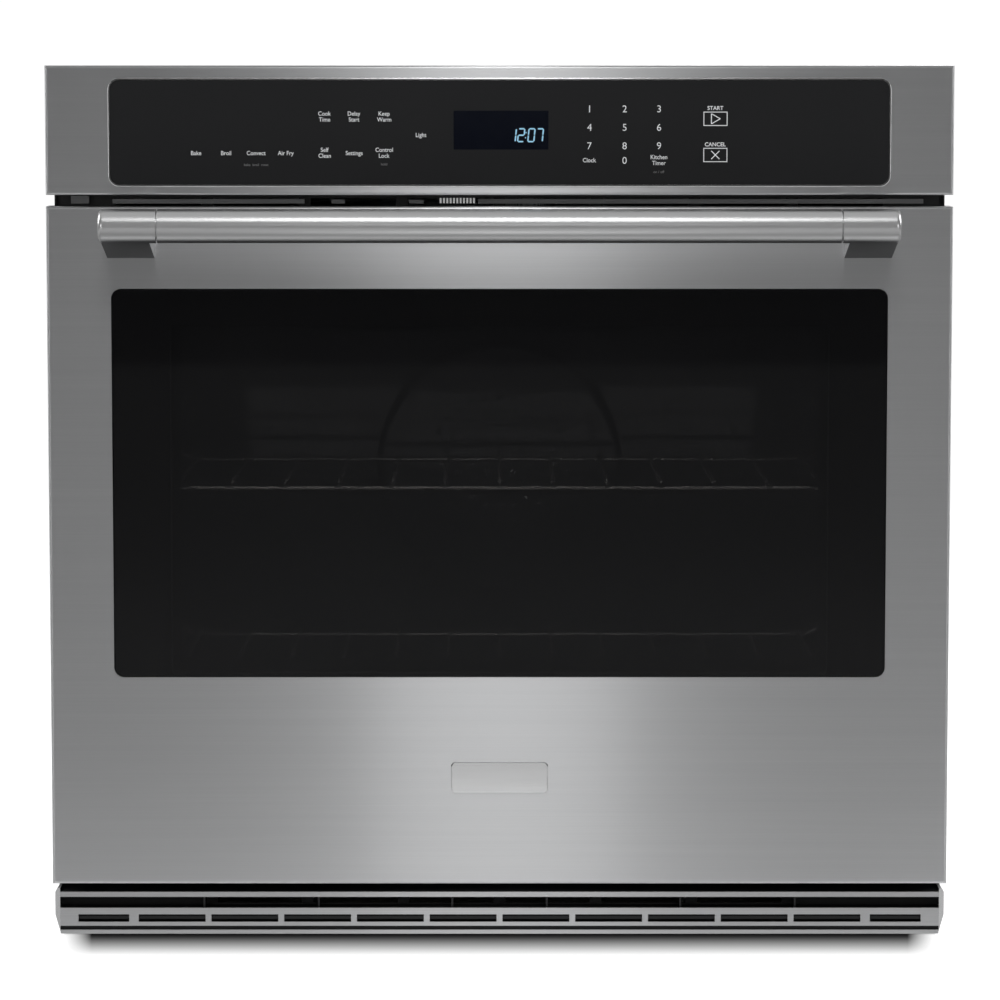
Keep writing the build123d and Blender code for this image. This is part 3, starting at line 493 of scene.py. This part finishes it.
# %% Print and display finishes
# Painted glow: besides their white print, the legends give off a faint light of their own, though they are no
# lamp.
white_legend_glow_paint = Finish("printed_white_legend_with_painted_glow", Emission_Strength=0.20)
white_legend_glow_paint.paint((0.78, 0.79, 0.80), (0.90, 0.91, 0.92), white_legend_glow_paint.noise(0.001))
white_legend_glow_paint.feed("Emission Color", white_legend_glow_paint.mix((0.85, 0.87, 0.90), (0.95, 0.97, 1.0),
                                                   white_legend_glow_paint.noise(0.002)))
white_legend_glow_paint.feed("Roughness", 0.45 + white_legend_glow_paint.noise(0.002) * 0.15)
print_grey = Finish("printed_grey_legend")
print_grey.paint((0.26, 0.26, 0.265), (0.36, 0.36, 0.365), print_grey.noise(0.001))
print_grey.feed("Roughness", 0.45 + print_grey.noise(0.002) * 0.15)
digit_glow = Finish("display_digits", Emission_Strength=0.55)
digit_glow.paint((0.15, 0.30, 0.40), (0.20, 0.36, 0.46), digit_glow.noise(0.002))
digit_glow.feed("Emission Color", digit_glow.mix((0.30, 0.62, 0.86), (0.42, 0.74, 0.95),
                                                 digit_glow.noise(0.003)))
screen = Finish("display_window")
screen.paint((0.0030, 0.0045, 0.0110), (0.0045, 0.0065, 0.0150), screen.noise(0.01))
screen.feed("Roughness", 0.08 + screen.noise(0.01) * 0.05)
border_print = Finish("black_border_print")
border_print.paint((0.004, 0.004, 0.0042), (0.007, 0.007, 0.0072), border_print.noise(0.002))
border_print.feed("Roughness", 0.30 + border_print.noise(0.004) * 0.2)

# %% [markdown]
# The legends stand on the touch glass, and their places are counted from its middle. A legend is a list of
# words one under the other. Letters are made from the built-in font and scaled so that a capital has the
# stated height.

# %% Legends
glass_low, glass_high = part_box("control_glass")
glass_face = glass_low.y
panel_z = (glass_low.z + glass_high.z) / 2
print_depth = 0.00006


def letters(text, bold=0.0):
    """The mesh of a word in the built-in font, with its middle at the origin."""
    curve = bpy.data.curves.new("word", "FONT")
    curve.body = text
    curve.offset = bold
    curve.resolution_u = 4
    thing = bpy.data.objects.new("word", curve)
    bpy.context.scene.collection.objects.link(thing)
    bpy.context.view_layer.update()
    mesh = bpy.data.meshes.new_from_object(thing.evaluated_get(bpy.context.evaluated_depsgraph_get()))
    verts = [vert.co.copy() for vert in mesh.vertices]
    faces = [list(face.vertices) for face in mesh.polygons]
    bpy.data.objects.remove(thing)
    bpy.data.curves.remove(curve)
    bpy.data.meshes.remove(mesh)
    return verts, faces


capital = max(vert.y for vert in letters("H")[0])


def legend(lines, x, dz, cap, pitch=0.0049, bold=0.0, squeeze=1.0):
    """Words standing on the touch glass, centred on x, the first line's capitals centred on dz."""
    parts = []
    for row, text in enumerate(lines):
        verts, faces = letters(text, bold)
        middle = (min(vert.x for vert in verts) + max(vert.x for vert in verts)) / 2
        grow = cap / capital
        z = panel_z + dz - row * pitch - cap / 2
        placed = [Vector((x + (vert.x - middle) * grow * squeeze, glass_face - print_depth,
                          z + vert.y * grow)) for vert in verts]
        parts.append((placed, faces))
    return join(parts)


word_cap = 0.0034
words = [
    (["Bake"], -0.2523, -0.0171), (["Broil"], -0.2274, -0.0171), (["Convect"], -0.2024, -0.0171),
    (["Air Fry"], -0.1778, -0.0171), (["Cook", "Time"], -0.1454, 0.0156),
    (["Delay", "Start"], -0.1209, 0.0156), (["Keep", "Warm"], -0.0959, 0.0156),
    (["Self", "Clean"], -0.1454, -0.0144), (["Settings"], -0.1209, -0.0171),
    (["Control", "Lock"], -0.0959, -0.0144), (["Light"], -0.0652, -0.0021), (["Clock"], 0.0748, -0.0230),
    (["Kitchen", "Timer"], 0.1326, -0.0204),
]
keys = [("1", 0.0748, 0.0195), ("2", 0.1040, 0.0195), ("3", 0.1326, 0.0195),
        ("4", 0.0748, 0.0042), ("5", 0.1040, 0.0042), ("6", 0.1326, 0.0042),
        ("7", 0.0748, -0.0111), ("8", 0.1040, -0.0111), ("9", 0.1326, -0.0111), ("0", 0.1040, -0.0232)]
printed = [legend(lines, x, dz, word_cap, bold=0.012, squeeze=0.92) for lines, x, dz in words]
printed += [legend([key], x, dz, 0.0057) for key, x, dz in keys]
printed += [legend(["START"], 0.1794, 0.0202, 0.0031, bold=0.02),
            legend(["CANCEL"], 0.1794, -0.0099, 0.0031, bold=0.02)]


def frame_line(x0, x1, z0, z1, width):
    """Four thin bars round a rectangle on the touch glass."""
    front, back = glass_face - print_depth, glass_face
    return [box_shape((x0, front, z0), (x1, back, z0 + width)),
            box_shape((x0, front, z1 - width), (x1, back, z1)),
            box_shape((x0, front, z0 + width), (x0 + width, back, z1 - width)),
            box_shape((x1 - width, front, z0 + width), (x1, back, z1 - width))]


def stroke(start, end, width):
    """A straight printed line between two (x, z) points."""
    a, b = Vector(start), Vector(end)
    across = (b - a).orthogonal().normalized() * width / 2
    return prism([a + across, b + across, b - across, a - across], glass_face - print_depth, glass_face)


button_x = 0.1795
start_z = panel_z + 0.0113
stop_z = panel_z - 0.0187
for middle in (start_z, stop_z):
    printed += frame_line(button_x - 0.0100, button_x + 0.0100, middle - 0.0059, middle + 0.0059, 0.0007)
tip, back_x, half = button_x + 0.0040, button_x - 0.0034, 0.0042
arm, pen = 0.0034, 0.0008
printed += [stroke((back_x, start_z - half), (back_x, start_z + half), pen),
            stroke((back_x, start_z + half), (tip, start_z), pen),
            stroke((back_x, start_z - half), (tip, start_z), pen),
            stroke((button_x - arm, stop_z - arm), (button_x + arm, stop_z + arm), pen),
            stroke((button_x - arm, stop_z + arm), (button_x + arm, stop_z - arm), pen)]
add_piece("panel_legends", *join(printed), white_legend_glow_paint, "root", "white_plastic")

small = [legend(["bake  broil  roast"], -0.2024, -0.0268, 0.0021, squeeze=0.95),
         legend(["hold"], -0.0960, -0.0263, 0.0021), legend(["on / off"], 0.1326, -0.0327, 0.0021)]
add_piece("panel_small_legends", *join(small), print_grey, "root", "white_plastic")

# %% Clock
window_x0, window_x1 = -0.0382, 0.0407
window_z0, window_z1 = panel_z - 0.0142, panel_z + 0.0180
screen_front = glass_face - print_depth / 2
add_piece("display_screen", *prism([(window_x0, window_z0), (window_x1, window_z0), (window_x1, window_z1),
                                    (window_x0, window_z1)], screen_front, glass_face),
          screen, "root", "touch_glass")
segments = {"1": "bc", "2": "abged", "0": "abcdef", "7": "abc"}
lean = 0.10


def digit(figure, x, z, wide, tall, thick):
    """A seven-segment figure whose lower left corner is at x, z."""
    mid = tall / 2
    lines = {"a": ((0, tall), (wide, tall)), "g": ((0, mid), (wide, mid)), "d": ((0, 0), (wide, 0)),
             "f": ((0, mid), (0, tall)), "b": ((wide, mid), (wide, tall)), "e": ((0, 0), (0, mid)),
             "c": ((wide, 0), (wide, mid))}
    parts = []
    for name in segments[figure]:
        (x0, z0), (x1, z1) = lines[name]
        a, b = Vector((x0, z0)), Vector((x1, z1))
        along = (b - a).normalized()
        a, b = a + along * thick * 0.55, b - along * thick * 0.55
        across = along.orthogonal() * thick / 2
        tips = [a - along * thick / 2, a + across, b + across, b + along * thick / 2, b - across, a - across]
        slanted = [(x + point.x + point.y * lean, z + point.y) for point in tips]
        parts.append(prism(slanted, glass_face - print_depth, glass_face))
    return parts


clock = []
digit_z, digit_tall, digit_wide = panel_z - 0.0076, 0.0106, 0.0050
for figure, x in (("1", 0.0080), ("2", 0.0150), ("0", 0.0235), ("7", 0.0305)):
    clock += digit(figure, x, digit_z, digit_wide, digit_tall, 0.0012)
for height in (0.3, 0.7):
    x, z = 0.0213 + height * digit_tall * lean, digit_z + height * digit_tall
    clock.append(prism([(x - 0.0005, z - 0.0005), (x + 0.0005, z - 0.0005), (x + 0.0005, z + 0.0005),
                        (x - 0.0005, z + 0.0005)], glass_face - print_depth, glass_face))
add_piece("clock_digits", *join(clock), digit_glow, "root", "white_plastic")
print("legends", len(words) + len(keys), "capital", round(capital, 3))

# %% [markdown]
# ## Window border, louvre and seal

# %% Window border
pane_low, pane_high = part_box("door_glass_outer")
outer = rounded(pane_high.x - 0.001, pane_low.z + 0.001, pane_high.z - 0.001, 0.004)
clear_half, clear_bottom, clear_top = 0.276, 0.222, 0.516
inner = rounded(clear_half, clear_bottom, clear_top, 0.004)
ring_y = pane_high.y + 0.0001
count = len(outer)
ring_verts = [Vector((x, y, z)) for y in (ring_y, ring_y + 0.0002) for x, z in outer + inner]
ring_faces = []
for i in range(count):
    j = (i + 1) % count
    for base in (0, 2 * count):
        ring_faces.append([base + i, base + j, base + count + j, base + count + i])
    ring_faces.append([i, j, 2 * count + j, 2 * count + i])
    ring_faces.append([count + i, count + j, 3 * count + j, 3 * count + i])
add_piece("window_border", ring_verts, ring_faces, border_print, "door", "window_glass")

# %% Louvre in the slit over the door
# Painted glow: the pale louvre bars give off a faint light of their own, though they are no lamp, so they show
# bright in the dark slit.
louvre_glow_paint = Finish("pale_louvre_with_painted_glow", Emission_Strength=0.30)
louvre_glow_paint.paint((0.70, 0.70, 0.69), (0.84, 0.84, 0.83), louvre_glow_paint.noise(0.002))
louvre_glow_paint.feed("Emission Color", louvre_glow_paint.mix((0.80, 0.80, 0.79), (0.95, 0.95, 0.94),
                                                       louvre_glow_paint.noise(0.003)))
louvre_glow_paint.feed("Roughness", 0.40 + louvre_glow_paint.noise(0.002) * 0.2)
bar_first_x, bar_pitch, bar_half = -0.0495, 0.0028, 0.00075
bars = []
for step in range(11):
    x = bar_first_x + step * bar_pitch
    bars.append(box_shape((x - bar_half, -0.0075, 0.6178), (x + bar_half, -0.0045, 0.6222)))
add_piece("slit_louvre", *join(bars), louvre_glow_paint, "root", "bright_trim")

# %% Braided door seal
seal_low, seal_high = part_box("door_gasket")
seal_radius = (seal_high.y - seal_low.y) / 2
seal_y = (seal_low.y + seal_high.y) / 2
path = rounded(seal_high.x - seal_radius, seal_low.z + seal_radius, seal_high.z - seal_radius, 0.03, 24)
dense = []
for i, (x, z) in enumerate(path):
    after = path[(i + 1) % len(path)]
    span = math.dist((x, z), after)
    pieces = max(1, round(span / 0.0011))
    for step in range(pieces):
        share = step / pieces
        dense.append(Vector((x + (after[0] - x) * share, seal_y, z + (after[1] - z) * share)))
braid_turns = round(len(dense) / 6)


def braid(step, angle):
    """The seal's radius, with the small bumps of crossing strands."""
    phase = 2 * math.pi * braid_turns * step / len(dense)
    return seal_radius * (0.93 + 0.07 * math.cos(phase) * math.cos(3 * angle))


seal = add_piece("door_seal_braid", *tube(dense, braid, 12, True), sleeve, "root", "seal", smooth=True)
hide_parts("door_gasket")
print("seal rings", len(dense))

# %% [markdown]
# Small pieces that are hardly seen from the front: the cross-recess screws round the frame and on the back,
# the oven lamp's bulb, and the coil springs inside the door.

# %% Screws
def screw_head(spot, outward, radius):
    """A domed head with a cross recess, standing on spot and facing along outward."""
    outward = Vector(outward)
    side = outward.orthogonal().normalized()
    over = outward.cross(side)
    tall, recess = radius * 0.55, radius * 0.42
    slot_wide, slot_long = 0.15, 0.62
    sides, rings = 32, 7
    verts, faces = [Vector(spot) + outward * (tall - recess)], []
    for ring in range(1, rings + 1):
        share = ring / rings
        for turn in range(sides):
            angle = 2 * math.pi * turn / sides
            x, y = share * math.cos(angle), share * math.sin(angle)
            in_cross = min(abs(x), abs(y)) < slot_wide and share < slot_long
            lift = tall * (1 - 0.55 * share ** 3) - (recess * (1 - share) if in_cross else 0.0)
            verts.append(Vector(spot) + (side * x + over * y) * radius + outward * lift)
    for turn in range(sides):
        turned = (turn + 1) % sides
        faces.append([0, 1 + turn, 1 + turned])
        for ring in range(rings - 1):
            base, after = 1 + ring * sides, 1 + (ring + 1) * sides
            faces.append([base + turn, after + turn, after + turned, base + turned])
    rim = len(verts)
    for turn in range(sides):
        angle = 2 * math.pi * turn / sides
        verts.append(Vector(spot) + (side * math.cos(angle) + over * math.sin(angle)) * radius)
    last = 1 + (rings - 1) * sides
    for turn in range(sides):
        turned = (turn + 1) % sides
        faces.append([last + turn, rim + turn, rim + turned, last + turned])
    return verts, faces


liner_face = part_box("oven_liner")[0].y
back_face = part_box("back_panel")[1].y
head_radius = 0.0036
flange_screws = ((0.329, 0.112), (0.329, 0.350), (0.329, 0.595), (0.150, 0.112), (0.110, 0.595))
back_screws = ((0.340, 0.040), (0.340, 0.360), (0.340, 0.690))
heads = [screw_head((side * x, liner_face, z), (0, -1, 0), head_radius)
         for side in (-1, 1) for x, z in flange_screws]
heads += [screw_head((side * x, back_face, z), (0, 1, 0), head_radius)
          for side in (-1, 1) for x, z in back_screws]
screws = add_piece("cross_recess_screws", *join(heads), zinc, "root", "zinc_steel", smooth=True)
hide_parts("chassis_screws")
print("screw heads", len(heads), "liner face", round(liner_face, 4), "back", round(back_face, 4))

# %% Lamp bulb
bulb_glass = Finish("bulb_glass")
bulb_glass.paint((0.60, 0.60, 0.57), (0.74, 0.74, 0.71), bulb_glass.noise(0.004))
bulb_glass.feed("Roughness", 0.20 + bulb_glass.noise(0.003) * 0.15)
bulb_glass.feed("Alpha", 0.45 + bulb_glass.noise(0.01) * 0.1)
lens_low, lens_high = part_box("lamp_lens")
lamp_x, lamp_z = (lens_low.x + lens_high.x) / 2, (lens_low.z + lens_high.z) / 2
bulb_profile = [(0.0, 0.0), (0.0008, 0.0035), (0.003, 0.0062), (0.007, 0.0080), (0.012, 0.0076),
                (0.016, 0.0056), (0.0185, 0.0045), (0.019, 0.0060), (0.024, 0.0060), (0.0245, 0.0030)]
bulb_front = (lamp_x, 0.5225, lamp_z)
add_piece("lamp_bulb", *lathe(bulb_profile, bulb_front, (0, 1, 0)), bulb_glass, "root", "lamp_glass",
          smooth=True)

# %% Coil springs of the door
spring_low, spring_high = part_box("hinge_springs")
coil_y = (spring_low.y + spring_high.y) / 2
coil_x = spring_high.x - (spring_high.y - spring_low.y) / 2
wire_radius = 0.0008
coil_radius = (spring_high.y - spring_low.y) / 2 - wire_radius
coil_turns, coil_steps = 26, 20
coils = []
for side in (-1, 1):
    points = []
    for step in range(coil_turns * coil_steps + 1):
        angle = 2 * math.pi * step / coil_steps
        rise = (spring_high.z - spring_low.z - 2 * wire_radius) * step / (coil_turns * coil_steps)
        points.append(Vector((side * coil_x + coil_radius * math.cos(angle),
                              coil_y + coil_radius * math.sin(angle),
                              spring_low.z + wire_radius + rise)))
    coils.append(tube(points, lambda step, angle: wire_radius, 8, False))
springs = add_piece("door_coil_springs", *join(coils), zinc, "door", "zinc_steel", smooth=True)
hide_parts("hinge_springs")
joints = {joint["name"]: joint for joint in frame["record"]["behaviour"]["joints"]}
travel = joints["spring_rod_slide"]["range_m"][1]
1 - travel / (spring_high.z - spring_low.z)
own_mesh(springs)
print("spring", round(coil_x, 4), round(coil_radius, 4), "travel", travel)

# %% [markdown]
# ## Stage
#
# The oven stands on a plinth, as on the shelf of its cabinet, over a pale floor. The plinth carries a painted
# shadow: its colour is dark close under the oven and turns white further down and towards its ends. A soft
# light over the front gives the upright bright band on the brushed steel; the air in front of the oven is
# darker, so that the glass stays black, and the floor is bright.

# %% Floor and plinth
def stage_finish(name, seen, lit, glow):
    """A matt white that the camera sees brighter than the steel does."""
    made = Finish(name, Roughness=0.9, Emission_Color=(1, 1, 1), Specular_IOR_Level=0.1)
    ray = made.node("ShaderNodeLightPath", {}, {}, "Is Camera Ray")
    grainy = made.noise(0.02)
    made.paint(lit, seen, ray * (0.97 + grainy * 0.03))
    made.feed("Emission Strength", ray * glow)
    return made


floor_finish = stage_finish("stage_floor", (0.50, 0.50, 0.50), (0.74, 0.74, 0.74), 0.93)
plinth_glow, plinth_half = 0.80, 0.370
plinth_shadow_paint = stage_finish("stage_plinth_painted_shadow", (0.50, 0.50, 0.50), (0.22, 0.22, 0.22), plinth_glow)
# Painted shadow: near-black just under the oven, fading to white over 19 mm down and over the last 24 mm at
# each end; the camera-side glow fades the same way.
painted_shadow_fade_down = (0.0 - plinth_shadow_paint.axis("Z")).clamp(0.001, 0.019) ** 1.5
painted_shadow_fade_ends = plinth_shadow_paint.axis("X").size().clamp(plinth_half - 0.024, plinth_half)
clear_of_painted_shadow = 1.0 - (1.0 - painted_shadow_fade_down) * (1.0 - painted_shadow_fade_ends)
camera_side = plinth_shadow_paint.node("ShaderNodeLightPath", {}, {}, "Is Camera Ray")
plinth_shadow_paint.feed("Emission Strength", camera_side * clear_of_painted_shadow * plinth_glow)
plinth_shadow_paint.feed("Base Color", plinth_shadow_paint.mix((0.02, 0.02, 0.02), (0.50, 0.50, 0.50), clear_of_painted_shadow))
floor_z = -0.12


def add_stage(name, verts, faces, finish):
    mesh = bpy.data.meshes.new(name)
    mesh.from_pydata([tuple(vert) for vert in verts], [], faces)
    mesh.materials.append(finish.material)
    thing = bpy.data.objects.new(name, mesh)
    bpy.context.scene.collection.objects.link(thing)
    return thing


reach = 9
add_stage("floor", [(-reach, -reach, floor_z), (reach, -reach, floor_z), (reach, reach, floor_z),
                    (-reach, reach, floor_z)], [[0, 1, 2, 3]], floor_finish)
add_stage("plinth", *box_shape((-plinth_half, -0.036, floor_z), (plinth_half, 0.56, -0.0001)),
          plinth_shadow_paint)

# %% World
world = bpy.data.worlds.new("studio")
bpy.context.scene.world = world
world.use_nodes = True
tree = world.node_tree
background = tree.nodes["Background"]
direction = tree.nodes.new("ShaderNodeTexCoord").outputs["Generated"]
split = tree.nodes.new("ShaderNodeSeparateXYZ")
tree.links.new(direction, split.inputs[0])
forward = Value(tree, split.outputs["Y"])
upward = Value(tree, split.outputs["Z"])
facing = (0.0 - forward).clamp(0.55, 0.95)
air = 0.10 - facing * 0.07 + upward.clamp(0.4, 1.0) * 0.35
camera_ray = Value(tree, tree.nodes.new("ShaderNodeLightPath").outputs["Is Camera Ray"])
strength = camera_ray * 1.05 + (1.0 - camera_ray) * air
connect(tree, strength, background.inputs["Strength"])
background.inputs["Color"].default_value = (1, 1, 1, 1)


# %% Lights
def area_light(name, spot, target, size_x, size_y, watts):
    """A soft rectangular light aimed at target, unseen by the camera."""
    lamp = bpy.data.lights.new(name, "AREA")
    lamp.shape = "RECTANGLE"
    lamp.size = size_x
    lamp.size_y = size_y
    lamp.energy = watts
    thing = bpy.data.objects.new(name, lamp)
    thing.location = spot
    thing.rotation_euler = (Vector(target) - Vector(spot)).to_track_quat("-Z", "Y").to_euler()
    thing.visible_camera = False
    bpy.context.scene.collection.objects.link(thing)
    return thing


area_light("key_over_front", (0, -2.95, 3.55), (0, 0, 0.42), 0.36, 1.4, 15)
area_light("front_strip", (0, -3.95, 1.48), (0, 0, 0.42), 0.36, 1.3, 2.7)
area_light("floor_sheen", (0, -0.90, -0.11), (0, -0.901, 1.0), 0.26, 0.5, 0.6)
area_light("floor_bounce", (0, -0.17, -0.11), (0, -0.171, 1.0), 1.5, 0.22, 0.9)
area_light("left_fill", (-1.75, -2.7, 0.78), (0, 0, 0.40), 1.0, 0.8, 6)
area_light("right_fill", (1.75, -2.7, 0.78), (0, 0, 0.40), 1.0, 0.8, 6)
area_light("left_side", (-2.8, 0.6, 1.7), (0, 0.25, 0.35), 1.4, 1.6, 26)
area_light("right_side", (2.8, 0.6, 1.7), (0, 0.25, 0.35), 1.4, 1.6, 26)
area_light("back_fill", (0.6, 2.6, 2.2), (0, 0.3, 0.3), 1.8, 1.4, 40)
area_light("oven_glow", (0, 0.12, 0.56), (0, 0.22, 0.30), 0.54, 0.22, 0.7)
area_light("rack_glow", (0, 0.08, 0.355), (0, 0.24, 0.14), 0.54, 0.14, 0.6)

# %% Camera
camera_data = bpy.data.cameras.new("camera")
camera_data.lens = 154.5
camera_data.sensor_width = 36.0
camera_data.clip_end = 60
camera = bpy.data.objects.new("camera", camera_data)
camera.location = (0.0004, -3.621, 0.725)
camera.rotation_euler = (math.radians(90 - 5.654), 0, 0)
bpy.context.scene.collection.objects.link(camera)
bpy.context.scene.camera = camera
bpy.context.scene.view_settings.view_transform = "Standard"
